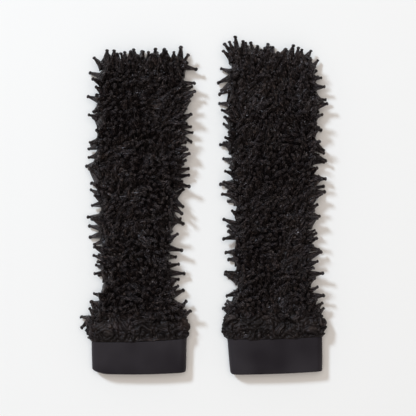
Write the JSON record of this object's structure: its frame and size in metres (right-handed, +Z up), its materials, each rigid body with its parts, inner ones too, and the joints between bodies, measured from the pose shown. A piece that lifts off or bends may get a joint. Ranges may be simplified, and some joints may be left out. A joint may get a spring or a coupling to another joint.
{
  "type": "pair of arm warmers",
  "caption": "Pair of black jersey arm warmers laid flat side by side, covered in soft bound fabric spikes and gathered on to plain folded cuffs, open at both ends.",
  "frame": {"origin": "on the table under the middle of the pair's bounding box, with the pair lying flat", "axes": "+Z up from the table; +Y along the arm warmers, from the cuffs to the open upper ends; +X across the pair, from the left arm warmer to the right one"},
  "size_m": [0.2954, 0.403, 0.0342],
  "materials": {
    "spiked_jersey": "near-black jersey with a faint sheen, drawn into soft bound spikes",
    "cuff_jersey": "plain matte charcoal-black jersey, folded double"
  },
  "bodies": {
    "root": {"left_sleeve": "spiked_jersey", "left_cuff": "cuff_jersey", "right_sleeve": "spiked_jersey", "right_cuff": "cuff_jersey"}
  },
  "joints": []
}
